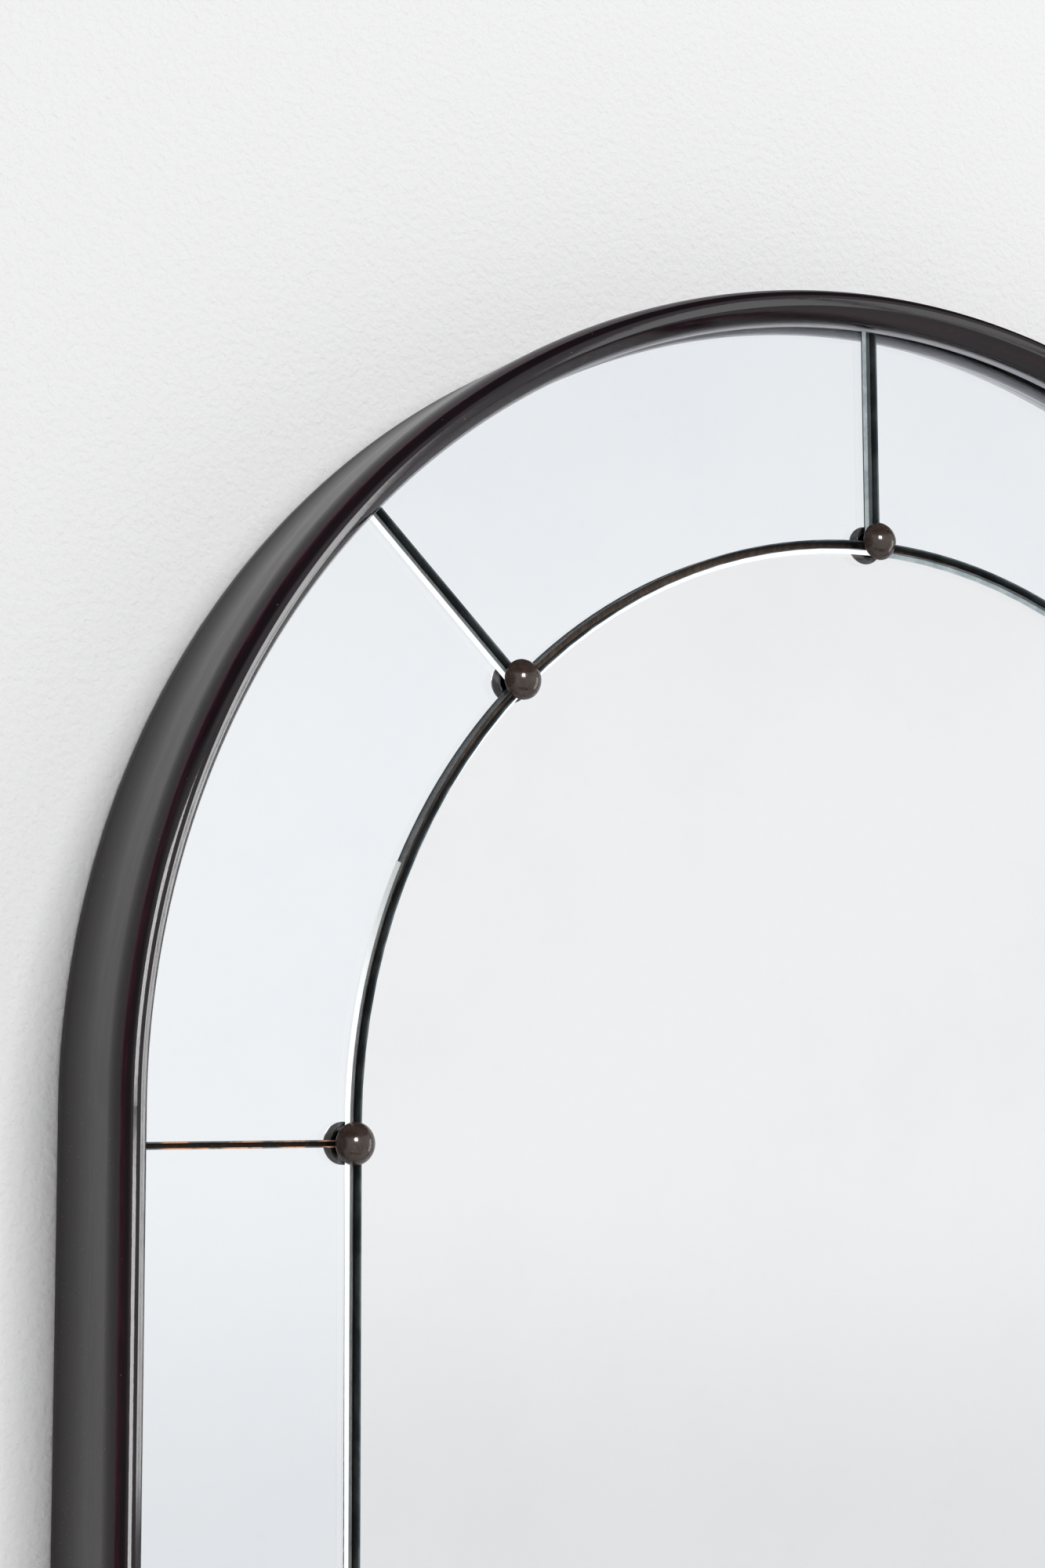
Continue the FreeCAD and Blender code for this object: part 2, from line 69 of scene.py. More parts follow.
# Bands of wear and of painted sheen: place against an arris and half width, or start and end before the sight
# edge
SIDE_WEAR = 0.0022
CREST_WEAR = (-0.0095, 0.0055)
SLOPE_WEAR = (0.009, 0.006)
# Pale sheen painted along the lip, standing in for its bright reflection of the glass
LIP_SHEEN = (-0.0036, -0.0012)
POLISHED_FRONT = (-0.020, -0.006)

# Panes, and the gap between the centre pane and the border
GLASS_FRONT = 0.0565
GLASS_BACK = 0.0505
SILVER_LIFT = 0.00006
# Margin strip along the edges of the silvering, with painted glow or painted shade: width, where the glow
# turns and fades, reaches
MARGIN_W = 0.0023
GLOW_TURN = 0.10
GLOW_FADE = 0.07
MARGIN_REACH = 0.006
JOINT_REACH = 0.005
LEVEL_REACH = 0.004
GAP_R = 0.270
GLASS_DROP = 0.008
LEVEL_JOINT = -0.016
FOOT_PANE_H = 0.0946
GAP_FOOT = FOOT + LIP_REACH + FOOT_PANE_H
# Depth in front of which the board's face carries painted shade
BOARD_SHADE_Y = -0.0485

# Studs
STUD_OUT = 0.002
STUD_R = 0.009
STUD_H = 0.0072
STUD_EDGE = 0.0008
STUD_EASE = 0.0004
SHANK_R = 0.0015
SHANK_BACK = 0.0353
WASHER_T = 0.002

# Mesh care: reach within which doubles merge, least Y of the normal of a front or back face, reach of an end
MERGE = 1e-6
FACING = 0.9
ON_EDGE = 1e-5

# Backdrop
BACKDROP_Y = 0.0005
FLOOR_Z = -1.4

# Camera: place, turn in degrees, and lens as focal length over the height of the picture
CAMERA_AT = (-0.7502, -1.0901, 0.0041)
CAMERA_TURN = (28.40, 6.53, -0.17)
FOCAL_PX = 3459.0
PICTURE_H_PX = 2000.0
SENSOR_H = 36.0
LAMP_AIM = Vector((-0.25, -0.06, 0.05))


# Shader helpers

def clear(tree):
    for node in list(tree.nodes):
        tree.nodes.remove(node)


def put(tree, kind, **settings):
    """Add a node; settings are its properties."""
    node = tree.nodes.new(kind)
    for key, value in settings.items():
        setattr(node, key, value)
    return node


def join(tree, source, target):
    tree.links.new(source, target)


def calc(tree, operation, a, b=None, clamp=False):
    """Math node; each operand is a number or a socket."""
    node = put(tree, "ShaderNodeMath", operation=operation, use_clamp=clamp)
    for index, value in enumerate((a, b)):
        if value is None:
            continue
        if isinstance(value, (int, float)):
            node.inputs[index].default_value = value
        else:
            join(tree, value, node.inputs[index])
    return node.outputs[0]


def ramp(tree, source, low, high, to_low=0.0, to_high=1.0):
    """Smooth step of a socket from one range to another."""
    node = put(tree, "ShaderNodeMapRange", clamp=True, interpolation_type="SMOOTHSTEP")
    join(tree, source, node.inputs["Value"])
    for name, value in (("From Min", low), ("From Max", high), ("To Min", to_low), ("To Max", to_high)):
        node.inputs[name].default_value = value
    return node.outputs["Result"]


def blend_colour(tree, factor, a, b):
    """Mix two colours, each a tuple or a socket, by a socket."""
    node = put(tree, "ShaderNodeMix", data_type="RGBA")
    join(tree, factor, node.inputs["Factor"])
    for socket, value in ((node.inputs[6], a), (node.inputs[7], b)):
        if isinstance(value, tuple):
            socket.default_value = value + (1.0,)
        else:
            join(tree, value, socket)
    return node.outputs[2]


def noise(tree, vector, scale, detail, rough):
    """Noise over a vector; the scale is a number or a socket."""
    node = put(tree, "ShaderNodeTexNoise")
    join(tree, vector, node.inputs["Vector"])
    if isinstance(scale, float):
        node.inputs["Scale"].default_value = scale
    else:
        join(tree, scale, node.inputs["Scale"])
    node.inputs["Detail"].default_value = detail
    node.inputs["Roughness"].default_value = rough
    return node.outputs["Fac"]


def stretched(tree, vector, scale):
    """Mapping node that stretches a pattern."""
    node = put(tree, "ShaderNodeMapping")
    join(tree, vector, node.inputs["Vector"])
    node.inputs["Scale"].default_value = scale
    return node.outputs[0]


def shader_group(name, inputs, outputs):
    """New node group with named sockets; returns (tree, input node, output node)."""
    tree = bpy.data.node_groups.new(name, "ShaderNodeTree")
    for label, kind, default in inputs:
        socket = tree.interface.new_socket(label, in_out="INPUT", socket_type=kind)
        if default is not None:
            socket.default_value = default
    for label, kind in outputs:
        tree.interface.new_socket(label, in_out="OUTPUT", socket_type=kind)
    return tree, tree.nodes.new("NodeGroupInput"), tree.nodes.new("NodeGroupOutput")


def use_group(tree, group, **values):
    """Place a group; values are numbers or sockets by input name, spaces written as _."""
    node = put(tree, "ShaderNodeGroup", node_tree=group)
    for key, value in values.items():
        socket = node.inputs[key.replace("_", " ")]
        if isinstance(value, (int, float, tuple)):
            socket.default_value = value
        else:
            join(tree, value, socket)
    return node.outputs


def bumped(tree, height, bsdf, strength, distance):
    node = put(tree, "ShaderNodeBump")
    node.inputs["Strength"].default_value = strength
    node.inputs["Distance"].default_value = distance
    join(tree, height, node.inputs["Height"])
    join(tree, node.outputs[0], bsdf.inputs["Normal"])


def material(name, colour, roughness, metallic=0.0, **more):
    """Principled material; more sets further constant sockets by name, spaces written as _."""
    made = bpy.data.materials.new(name)
    made.use_nodes = True
    made.diffuse_color = colour + (1.0,)
    tree = made.node_tree
    clear(tree)
    out = put(tree, "ShaderNodeOutputMaterial")
    bsdf = put(tree, "ShaderNodeBsdfPrincipled")
    join(tree, bsdf.outputs[0], out.inputs["Surface"])
    bsdf.inputs["Base Color"].default_value = colour + (1.0,)
    bsdf.inputs["Roughness"].default_value = roughness
    bsdf.inputs["Metallic"].default_value = metallic
    for key, value in more.items():
        bsdf.inputs[key.replace("_", " ")].default_value = value
    return made, tree, bsdf


def object_place(tree):
    return put(tree, "ShaderNodeTexCoord").outputs["Object"]


# Effects that several finishes share

def make_streak_group():
    """Fine lines that run along one direction of a vector, with slow cloudy variation."""
    tree, given, result = shader_group(
        "drawn_streaks",
        [("Vector", "NodeSocketVector", None), ("Fine", "NodeSocketFloat", 40.0),
         ("Cloud", "NodeSocketFloat", 6.0)],
        [("Streak", "NodeSocketFloat"), ("Cloud", "NodeSocketFloat")])
    fine = noise(tree, given.outputs["Vector"], given.outputs["Fine"], 5.0, 0.6)
    cloud = noise(tree, given.outputs["Vector"], given.outputs["Cloud"], 3.0, 0.5)
    join(tree, ramp(tree, fine, 0.3, 0.7), result.inputs["Streak"])
    join(tree, ramp(tree, cloud, 0.35, 0.65), result.inputs["Cloud"])
    return tree


def make_speck_group():
    """Sparse small specks of dust and rubs."""
    tree, given, result = shader_group(
        "dust_specks",
        [("Vector", "NodeSocketVector", None), ("Scale", "NodeSocketFloat", 300.0),
         ("Size", "NodeSocketFloat", 0.12), ("Share", "NodeSocketFloat", 0.3)],
        [("Speck", "NodeSocketFloat")])
    cells = put(tree, "ShaderNodeTexVoronoi", feature="F1")
    join(tree, given.outputs["Vector"], cells.inputs["Vector"])
    join(tree, given.outputs["Scale"], cells.inputs["Scale"])
    near = calc(tree, "LESS_THAN", cells.outputs["Distance"], given.outputs["Size"])
    parts = put(tree, "ShaderNodeSeparateColor")
    join(tree, cells.outputs["Color"], parts.inputs[0])
    chosen = calc(tree, "LESS_THAN", parts.outputs[0], given.outputs["Share"])
    join(tree, calc(tree, "MULTIPLY", near, chosen), result.inputs["Speck"])
    return tree


def make_rub_group():
    """Finish rubbed through along an arris: a band around one value, broken up by noise."""
    tree, given, result = shader_group(
        "rubbed_arris",
        [("Across", "NodeSocketFloat", 0.0), ("Centre", "NodeSocketFloat", 0.0),
         ("Width", "NodeSocketFloat", 0.002), ("Break", "NodeSocketFloat", 0.5)],
        [("Rub", "NodeSocketFloat")])
    off = calc(tree, "ABSOLUTE", calc(tree, "SUBTRACT", given.outputs["Across"], given.outputs["Centre"]))
    near = calc(tree, "SUBTRACT", 1.0, calc(tree, "DIVIDE", off, given.outputs["Width"]), clamp=True)
    broken = calc(tree, "ADD", near, calc(tree, "SUBTRACT", given.outputs["Break"], 0.8))
    join(tree, ramp(tree, broken, 0.05, 0.55), result.inputs["Rub"])
    return tree


STREAKS = make_streak_group()
SPECKS = make_speck_group()
RUB = make_rub_group()


# Section of the rim

def polar(centre, radius, angle):
    return (centre[0] + radius * math.cos(angle), centre[1] + radius * math.sin(angle))


def rim_section():
    """Closed outline of the moulding as (inset, depth) points, and how far along it the arrises lie."""
    rise = (DEPTH - CREST_R - BULGE_START) / (BULGE_R - CREST_R)
    lead = math.pi - math.asin(rise)
    bulge = (BULGE_R, BULGE_START)
    crest = polar(bulge, BULGE_R - CREST_R, lead)
    nose = (LIP_REACH - NOSE_R, LIP_BACK + NOSE_R)
    run = math.hypot(nose[0] - crest[0], nose[1] - crest[1])
    slope = math.atan2(nose[1] - crest[1], nose[0] - crest[0])
    tangent = slope + math.acos((CREST_R - NOSE_R) / run)

    def arc(centre, radius, start, end, steps):
        return [polar(centre, radius, start + (end - start) * i / steps) for i in range(steps + 1)]

    side = [(0.0, BACK_EASE + (BULGE_START - BACK_EASE) * i / 10) for i in range(10)]
    points = [(BACK_EASE, 0.0)] + side
    points += arc(bulge, BULGE_R, math.pi, lead, 12)
    points += arc(crest, CREST_R, lead, tangent, 12)[1:]
    a = polar(crest, CREST_R, tangent)
    b = polar(nose, NOSE_R, tangent)
    points += [(a[0] + (b[0] - a[0]) * i / 4, a[1] + (b[1] - a[1]) * i / 4) for i in range(1, 4)]
    points += arc(nose, NOSE_R, tangent, -math.pi / 2, 16)
    points += [(SIDE_T, LIP_BACK), (SIDE_T, 0.0)]
    lengths = [0.0]
    for p, q in zip(points, points[1:]):
        lengths.append(lengths[-1] + math.dist(p, q))
    crest_top = max(range(len(points)), key=lambda i: points[i][1])
    sight = max(range(len(points)), key=lambda i: points[i][0])
    return points, {"side": lengths[1], "crest": lengths[crest_top], "sight": lengths[sight]}


SECTION, ARRIS_AT = rim_section()


# Geometry trees

def geometry_tree(name, inputs):
    tree = bpy.data.node_groups.new(name, "GeometryNodeTree")
    tree.interface.new_socket("Geometry", in_out="INPUT", socket_type="NodeSocketGeometry")
    for label, kind in inputs:
        tree.interface.new_socket(label, in_out="INPUT", socket_type=kind)
    tree.interface.new_socket("Geometry", in_out="OUTPUT", socket_type="NodeSocketGeometry")
    return tree, tree.nodes.new("NodeGroupInput"), tree.nodes.new("NodeGroupOutput")


def finished(tree, source, given, result):
    """End a tree in Realize Instances and Set Material."""
    real = tree.nodes.new("GeometryNodeRealizeInstances")
    paint = tree.nodes.new("GeometryNodeSetMaterial")
    join(tree, source, real.inputs[0])
    join(tree, real.outputs[0], paint.inputs["Geometry"])
    join(tree, given.outputs["Material"], paint.inputs["Material"])
    join(tree, paint.outputs[0], result.inputs[0])


def named_length(tree, curve, label):
    """Store the running length of a curve under a name."""
    length = tree.nodes.new("GeometryNodeSplineParameter")
    store = tree.nodes.new("GeometryNodeStoreNamedAttribute")
    store.data_type = "FLOAT"
    store.domain = "POINT"
    store.inputs["Name"].default_value = label
    join(tree, curve, store.inputs["Geometry"])
    join(tree, length.outputs["Length"], store.inputs["Value"])
    return store.outputs[0]


def make_rim_tree():
    """Moulding swept along an arc or a straight line."""
    tree, given, result = geometry_tree("swept_rim", [
        ("Profile", "NodeSocketObject"), ("Straight", "NodeSocketBool"), ("Radius", "NodeSocketFloat"),
        ("Start Angle", "NodeSocketFloat"), ("Sweep Angle", "NodeSocketFloat"), ("Steps", "NodeSocketInt"),
        ("Line Start", "NodeSocketVector"), ("Line End", "NodeSocketVector"),
        ("Material", "NodeSocketMaterial")])
    arc = tree.nodes.new("GeometryNodeCurveArc")
    turn = tree.nodes.new("GeometryNodeTransform")
    turn.inputs["Rotation"].default_value = (math.pi / 2, 0, 0)
    join(tree, given.outputs["Steps"], arc.inputs["Resolution"])
    for label in ("Radius", "Start Angle", "Sweep Angle"):
        join(tree, given.outputs[label], arc.inputs[label])
    join(tree, arc.outputs["Curve"], turn.inputs["Geometry"])
    line = tree.nodes.new("GeometryNodeCurvePrimitiveLine")
    join(tree, given.outputs["Line Start"], line.inputs["Start"])
    join(tree, given.outputs["Line End"], line.inputs["End"])
    even = tree.nodes.new("GeometryNodeResampleCurve")
    join(tree, line.outputs[0], even.inputs["Curve"])
    join(tree, given.outputs["Steps"], even.inputs["Count"])
    pick = tree.nodes.new("GeometryNodeSwitch")
    pick.input_type = "GEOMETRY"
    join(tree, given.outputs["Straight"], pick.inputs["Switch"])
    join(tree, turn.outputs[0], pick.inputs["False"])
    join(tree, even.outputs[0], pick.inputs["True"])
    profile = tree.nodes.new("GeometryNodeObjectInfo")
    join(tree, given.outputs["Profile"], profile.inputs["Object"])
    sweep = tree.nodes.new("GeometryNodeCurveToMesh")
    join(tree, named_length(tree, pick.outputs[0], "along"), sweep.inputs["Curve"])
    join(tree, named_length(tree, profile.outputs["Geometry"], "across"), sweep.inputs["Profile Curve"])
    sweep.inputs["Fill Caps"].default_value = True
    finished(tree, sweep.outputs[0], given, result)
    return tree


def make_places_tree():
    """One piece set on each point of a mesh."""
    tree, given, result = geometry_tree("set_on_places", [
        ("Piece", "NodeSocketObject"), ("Material", "NodeSocketMaterial")])
    piece = tree.nodes.new("GeometryNodeObjectInfo")
    piece.inputs["As Instance"].default_value = True
    join(tree, given.outputs["Piece"], piece.inputs["Object"])
    setter = tree.nodes.new("GeometryNodeInstanceOnPoints")
    join(tree, given.outputs["Geometry"], setter.inputs["Points"])
    join(tree, piece.outputs["Geometry"], setter.inputs["Instance"])
    finished(tree, setter.outputs[0], given, result)
    return tree


def link(obj):
    bpy.context.scene.collection.objects.link(obj)
    return obj


def baked(name, tree, base, values):
    """Evaluate a tree on a base mesh and keep the result as a plain mesh object."""
    carrier = link(bpy.data.objects.new(name + "_carrier", base))
    modifier = carrier.modifiers.new("form", "NODES")
    modifier.node_group = tree
    keys = {item.name: item.identifier for item in tree.interface.items_tree if item.in_out == "INPUT"}
    for label, value in values.items():
        modifier[keys[label]] = value
    bpy.context.view_layer.update()
    graph = bpy.context.evaluated_depsgraph_get()
    mesh = bpy.data.meshes.new_from_object(carrier.evaluated_get(graph), depsgraph=graph)
    bpy.data.objects.remove(carrier)
    mesh.name = name
    return link(bpy.data.objects.new(name, mesh))


def profile_curve(name, points):
    """Closed poly curve in its own XY plane."""
    data = bpy.data.curves.new(name, "CURVE")
    data.dimensions = "3D"
    spline = data.splines.new("POLY")
    spline.points.add(len(points) - 1)
    for point, (x, y) in zip(spline.points, points):
        point.co = (x, y, 0.0, 1.0)
    spline.use_cyclic_u = True
    return link(bpy.data.objects.new(name, data))


def squared(obj, sharp):
    """Merge doubles, turn the faces outwards and shade smooth except at arrises."""
    mesh = bmesh.new()
    mesh.from_mesh(obj.data)
    bmesh.ops.remove_doubles(mesh, verts=mesh.verts, dist=MERGE)
    bmesh.ops.recalc_face_normals(mesh, faces=mesh.faces)
    for face in mesh.faces:
        face.smooth = True
    mesh.to_mesh(obj.data)
    mesh.free()
    obj.data.set_sharp_from_angle(angle=math.radians(sharp))
    return obj


def placed(obj, slot, *nodes):
    """Hand a piece over to the mirror's body in place of its CAD nodes."""
    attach(obj, BODY)
    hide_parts(*nodes)
    return obj


# Finishes

def leaning_band(tree, across, start, end, first, last):
    """Height that leans the surface inwards by first at the start of a band and by last at its end."""
    inside = calc(tree, "MINIMUM", calc(tree, "MAXIMUM", across, start), end)
    reach = calc(tree, "SUBTRACT", inside, start)
    turn = 0.5 * (first - last) / (end - start)
    bend = calc(tree, "MULTIPLY", calc(tree, "MULTIPLY", reach, reach), turn)
    return calc(tree, "ADD", calc(tree, "MULTIPLY", reach, -first), bend)


def lacquer_colour(tree, across, pack, streak):
    """Espresso lacquer, wine red where it is rubbed, with a pale painted sheen along the lip."""
    crest, sight = ARRIS_AT["crest"], ARRIS_AT["sight"]
    worn = noise(tree, stretched(tree, pack, (0.35, 1.0, 1.0)), 140.0, 6.0, 0.65)

    def rubbed(centre, width):
        return use_group(tree, RUB, Across=across, Centre=centre, Width=width, Break=worn)["Rub"]

    side = rubbed(ARRIS_AT["side"], SIDE_WEAR)
    front = rubbed(crest + CREST_WEAR[0], CREST_WEAR[1])
    slope = calc(tree, "MULTIPLY", rubbed(crest + SLOPE_WEAR[0], SLOPE_WEAR[1]), 0.45)
    rub = calc(tree, "MAXIMUM", side, calc(tree, "MAXIMUM", front, slope))
    cloudy = blend_colour(tree, streak["Cloud"], (0.006, 0.0043, 0.0058), (0.010, 0.007, 0.0090))
    faint = calc(tree, "MULTIPLY", streak["Streak"], 0.4)
    dark = blend_colour(tree, faint, cloudy, (0.016, 0.006, 0.010))
    red = blend_colour(tree, streak["Streak"], (0.020, 0.0042, 0.009), (0.038, 0.009, 0.017))
    body = blend_colour(tree, calc(tree, "MULTIPLY", rub, 0.85), dark, red)
    # Painted sheen: a pale band along the lip in place of its reflection of the glass
    lip = calc(tree, "MULTIPLY", ramp(tree, across, sight + LIP_SHEEN[0], sight + LIP_SHEEN[1]),
               ramp(tree, streak["Cloud"], 0.0, 1.0, 0.6, 1.0))
    painted_sheen = blend_colour(tree, streak["Streak"], (0.52, 0.515, 0.56), (0.66, 0.65, 0.70))
    body = blend_colour(tree, lip, body, painted_sheen)
    place = object_place(tree)
    speck = use_group(tree, SPECKS, Vector=place, Scale=420.0, Size=0.10, Share=0.05)["Speck"]
    return blend_colour(tree, calc(tree, "MULTIPLY", speck, 0.5), body, (0.30, 0.27, 0.26))


def lacquer_finish():
    """Near-black espresso lacquer, satin at the side and polished in front."""
    made, tree, bsdf = material("espresso_lacquer", (0.012, 0.007, 0.008), 0.34, IOR=1.41)
    along = put(tree, "ShaderNodeAttribute", attribute_name="along").outputs["Fac"]
    across = put(tree, "ShaderNodeAttribute", attribute_name="across").outputs["Fac"]
    pack = put(tree, "ShaderNodeCombineXYZ")
    join(tree, along, pack.inputs[0])
    join(tree, across, pack.inputs[1])
    grain = stretched(tree, pack.outputs[0], (0.12, 1.0, 1.0))
    streak = use_group(tree, STREAKS, Vector=grain, Fine=420.0, Cloud=45.0)
    colour = lacquer_colour(tree, across, pack.outputs[0], streak)
    join(tree, colour, bsdf.inputs["Base Color"])
    cloudy = calc(tree, "MULTIPLY", streak["Cloud"], 0.05)
    rough = calc(tree, "ADD", cloudy, calc(tree, "MULTIPLY", streak["Streak"], 0.05))
    crest = ARRIS_AT["crest"]
    front = ramp(tree, across, crest + POLISHED_FRONT[0], crest + POLISHED_FRONT[1], 0.28, 0.055)
    join(tree, calc(tree, "ADD", rough, front), bsdf.inputs["Roughness"])
    fine = calc(tree, "MULTIPLY", noise(tree, grain, 900.0, 3.0, 0.6), 0.35)
    lift = calc(tree, "ADD", fine, calc(tree, "MULTIPLY", streak["Cloud"], 0.6))
    form = calc(tree, "MULTIPLY", lift, 0.00006)
    for start, end, first, last in LEANS:
        band = leaning_band(tree, across, crest + start, crest + end, first, last)
        form = calc(tree, "ADD", form, band)
    bumped(tree, form, bsdf, 1.0, 1.0)
    return made


def glass_finish():
    """Clear plate glass with a slight blue-green cast."""
    made, tree, bsdf = material("plate_glass", (0.985, 0.993, 0.993), 0.0, IOR=1.52, Transmission_Weight=1.0)
    place = object_place(tree)
    haze = noise(tree, place, 5.0, 2.0, 0.5)
    join(tree, ramp(tree, haze, 0.45, 0.75, 0.0, 0.012), bsdf.inputs["Roughness"])
    return made


def ground_edge_finish():
    """Ground edges of the panes: teal, darkened with painted shade of the gaps, and brown where the level
    joint is chipped.
    """
    made, tree, bsdf = material("ground_glass_edge", (0.008, 0.020, 0.022), 0.4, Specular_IOR_Level=0.1)
    place = object_place(tree)
    chips = noise(tree, place, 900.0, 3.0, 0.6)
    cloud = noise(tree, place, 60.0, 3.0, 0.6)
    # Teal tint of the glass, made dark with painted shade of the narrow gaps
    teal = blend_colour(tree, ramp(tree, cloud, 0.35, 0.7), (0.070, 0.092, 0.102), (0.185, 0.218, 0.228))
    parts = put(tree, "ShaderNodeSeparateXYZ")
    join(tree, place, parts.inputs[0])
    off = calc(tree, "ABSOLUTE", calc(tree, "SUBTRACT", parts.outputs["Z"], LEVEL_JOINT))
    chipped = ramp(tree, noise(tree, place, 38.0, 4.0, 0.7), 0.48, 0.58)
    brown = calc(tree, "MULTIPLY", calc(tree, "LESS_THAN", off, LEVEL_REACH), chipped)
    join(tree, blend_colour(tree, brown, teal, (0.80, 0.44, 0.25)), bsdf.inputs["Base Color"])
    join(tree, ramp(tree, chips, 0.3, 0.7, 0.25, 0.5), bsdf.inputs["Roughness"])
    bumped(tree, chips, bsdf, 0.2, 0.0002)
    return made


def glow_margin_finish():
    """Margin strip of the silvering with a painted glow, standing in for the light that the ground edge
    gathers.
    """
    made, tree, bsdf = material("painted_glow_margin", (0.92, 0.93, 0.93), 0.6, Emission_Strength=0.95)
    place = object_place(tree)
    cloud = noise(tree, place, 45.0, 4.0, 0.6)
    glow = blend_colour(tree, ramp(tree, cloud, 0.35, 0.65), (0.86, 0.90, 0.90), (1.0, 1.0, 1.0))
    parts = put(tree, "ShaderNodeSeparateXYZ")
    join(tree, place, parts.inputs[0])
    # The painted glow dims to grey towards the height where it turns
    turn = calc(tree, "ABSOLUTE", calc(tree, "SUBTRACT", parts.outputs["Z"], GLOW_TURN))
    glow = blend_colour(tree, ramp(tree, turn, 0.0, GLOW_FADE), (0.42, 0.43, 0.43), glow)
    join(tree, glow, bsdf.inputs["Emission Color"])
    return made


def painted_shade_margin_finish():
    """Margin strip of the silvering with painted shade of its own edge and a faint painted glow."""
    made, tree, bsdf = material("painted_shade_margin", (0.52, 0.60, 0.62), 0.6, Emission_Strength=0.45)
    cloud = noise(tree, object_place(tree), 120.0, 4.0, 0.6)
    tone = blend_colour(tree, ramp(tree, cloud, 0.35, 0.65), (0.42, 0.50, 0.53), (0.62, 0.70, 0.72))
    join(tree, tone, bsdf.inputs["Base Color"])
    join(tree, tone, bsdf.inputs["Emission Color"])
    return made


def silver_finish(name, tint, veil):
    """Silvering seen through the glass, with faint clouding."""
    made, tree, bsdf = material(name, tint, 0.0, 1.0)
    place = object_place(tree)
    cloud = noise(tree, place, 9.0, 4.0, 0.6)
    fine = noise(tree, place, 160.0, 3.0, 0.6)
    amount = calc(tree, "MULTIPLY", ramp(tree, cloud, 0.4, 0.7), 0.7)
    amount = calc(tree, "ADD", amount, calc(tree, "MULTIPLY", ramp(tree, fine, 0.5, 0.75), 0.3))
    join(tree, blend_colour(tree, amount, tint, veil), bsdf.inputs["Base Color"])
    return made


def bronze_finish():
    """Bronze-brown lacquer over turned metal, with a fine fleck."""
    made, tree, bsdf = material("bronze_lacquer", (0.075, 0.058, 0.050), 0.15, IOR=1.5)
    place = object_place(tree)
    tone = noise(tree, place, 260.0, 5.0, 0.65)
    brown = blend_colour(tree, ramp(tree, tone, 0.35, 0.7), (0.034, 0.021, 0.016), (0.058, 0.040, 0.032))
    fleck = use_group(tree, SPECKS, Vector=place, Scale=1500.0, Size=0.22, Share=0.10)["Speck"]
    flecked = blend_colour(tree, calc(tree, "MULTIPLY", fleck, 0.6), brown, (0.26, 0.23, 0.20))
    join(tree, flecked, bsdf.inputs["Base Color"])
    fine = noise(tree, place, 1500.0, 3.0, 0.6)
    join(tree, ramp(tree, fine, 0.3, 0.75, 0.10, 0.18), bsdf.inputs["Roughness"])
    bumped(tree, tone, bsdf, 0.06, 0.0003)
    return made


def board_finish():
    """Brown hardboard: fibre flecks in a smooth face, darkened with painted shade on the front face."""
    made, tree, bsdf = material("brown_hardboard", (0.16, 0.085, 0.05), 0.62)
    place = object_place(tree)
    fibre = noise(tree, stretched(tree, place, (1.0, 1.0, 0.35)), 340.0, 5.0, 0.7)
    cloud = noise(tree, place, 14.0, 4.0, 0.6)
    tone = blend_colour(tree, ramp(tree, cloud, 0.35, 0.65), (0.135, 0.070, 0.040), (0.195, 0.108, 0.064))
    fleck = blend_colour(tree, ramp(tree, fibre, 0.52, 0.72), tone, (0.30, 0.19, 0.12))
    speck = use_group(tree, SPECKS, Vector=place, Scale=160.0, Size=0.16, Share=0.12)["Speck"]
    flecked = blend_colour(tree, calc(tree, "MULTIPLY", speck, 0.6), fleck, (0.06, 0.03, 0.02))
    parts = put(tree, "ShaderNodeSeparateXYZ")
    join(tree, place, parts.inputs[0])
    # The front face, seen only down the gaps between panes, carries painted shade instead of its own colour
    gap_shade = calc(tree, "LESS_THAN", parts.outputs["Y"], BOARD_SHADE_Y)
    stain = blend_colour(tree, ramp(tree, fibre, 0.4, 0.7), (0.040, 0.027, 0.021), (0.105, 0.070, 0.048))
    join(tree, blend_colour(tree, gap_shade, flecked, stain), bsdf.inputs["Base Color"])
    join(tree, ramp(tree, fibre, 0.3, 0.7, 0.52, 0.72), bsdf.inputs["Roughness"])
    bumped(tree, fibre, bsdf, 0.25, 0.0006)
    return made


def softwood_finish(name, light, dark, lengthwise):
    """Planed timber with growth lines along one axis."""
    made, tree, bsdf = material(name, light, 0.55)
    place = object_place(tree)
    flow = stretched(tree, place, lengthwise)
    bend = noise(tree, flow, 5.0, 3.0, 0.5)
    rings = put(tree, "ShaderNodeTexWave", wave_type="BANDS", bands_direction="DIAGONAL")
    join(tree, flow, rings.inputs["Vector"])
    rings.inputs["Scale"].default_value = 60.0
    rings.inputs["Distortion"].default_value = 9.0
    rings.inputs["Detail"].default_value = 3.0
    rings.inputs["Detail Scale"].default_value = 0.8
    streak = use_group(tree, STREAKS, Vector=flow, Fine=500.0, Cloud=20.0)
    line = ramp(tree, rings.outputs["Fac"], 0.35, 0.95)
    line = calc(tree, "MULTIPLY", line, ramp(tree, bend, 0.3, 0.7, 0.4, 1.0))
    tone = blend_colour(tree, line, light, dark)
    fibred = blend_colour(tree, calc(tree, "MULTIPLY", streak["Streak"], 0.35), tone, dark)
    join(tree, fibred, bsdf.inputs["Base Color"])
    join(tree, ramp(tree, streak["Streak"], 0.0, 1.0, 0.48, 0.66), bsdf.inputs["Roughness"])
    bumped(tree, calc(tree, "ADD", line, streak["Streak"]), bsdf, 0.2, 0.0004)
    return made


